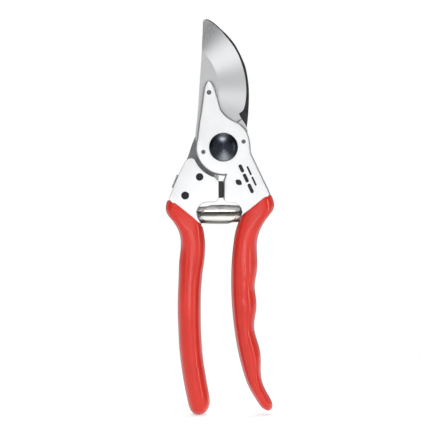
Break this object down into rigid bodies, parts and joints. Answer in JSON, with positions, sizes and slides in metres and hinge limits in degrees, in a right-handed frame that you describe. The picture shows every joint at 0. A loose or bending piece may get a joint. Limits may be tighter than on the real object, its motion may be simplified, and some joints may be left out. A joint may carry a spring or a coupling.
{
  "type": "bypass hand pruner",
  "caption": "Bypass hand pruner, closed: curved cutting blade over a dark hook, pale forged handles in red sleeves, domed pivot bolt, volute spring and thumb latch.",
  "frame": {"origin": "centre of the flat rear end of the pivot bolt, on the pivot axis", "axes": "+Z from the grips to the blade tip, +X to the blade-side handle, -Y is the front face with the domed bolt head and blade; the pivot axis is parallel to Y"},
  "size_m": [0.059, 0.0277, 0.216],
  "materials": {
    "grip_red": "gloss",
    "cast_alloy": "satin",
    "blade_steel": "satin",
    "hook_steel": "satin",
    "bolt_black": "gloss",
    "rivet_dark": "satin",
    "pin_steel": "satin",
    "spring_chrome": "polished",
    "rubber_black": "matte",
    "bronze": "satin",
    "nut_zinc": "satin",
    "nylon_insert": "matte",
    "latch_steel": "satin"
  },
  "bodies": {
    "hook_side": {"hook_handle": "cast_alloy", "hook_grip": "grip_red", "hook_blade": "hook_steel", "hook_rivet": "rivet_dark", "pivot_bolt": "bolt_black", "pivot_spring_washer": "nut_zinc", "pivot_nut": "nut_zinc", "pivot_nut_insert": "nylon_insert", "stop_bumper": "rubber_black", "volute_spring": "spring_chrome", "latch_rivet": "rivet_dark", "latch_wave_washer": "bronze"},
    "blade_side": {"blade_handle": "cast_alloy", "blade_grip": "grip_red", "cutting_blade": "blade_steel", "blade_pins": "pin_steel", "pivot_bush": "bronze", "latch_strike_pin": "pin_steel"},
    "latch": {"thumb_latch": "latch_steel"}
  },
  "joints": [
    {"name": "pivot", "type": "hinge", "parent": "hook_side", "child": "blade_side", "pos_m": [0, 0, 0], "axis": [0, -1, 0], "range_deg": [0, 34], "deforming": ["volute_spring"]},
    {"name": "latch_hinge", "type": "hinge", "parent": "hook_side", "child": "latch", "pos_m": [-0.02075, 0, -0.0261], "axis": [0, -1, 0], "range_deg": [0, 7.5]}
  ]
}
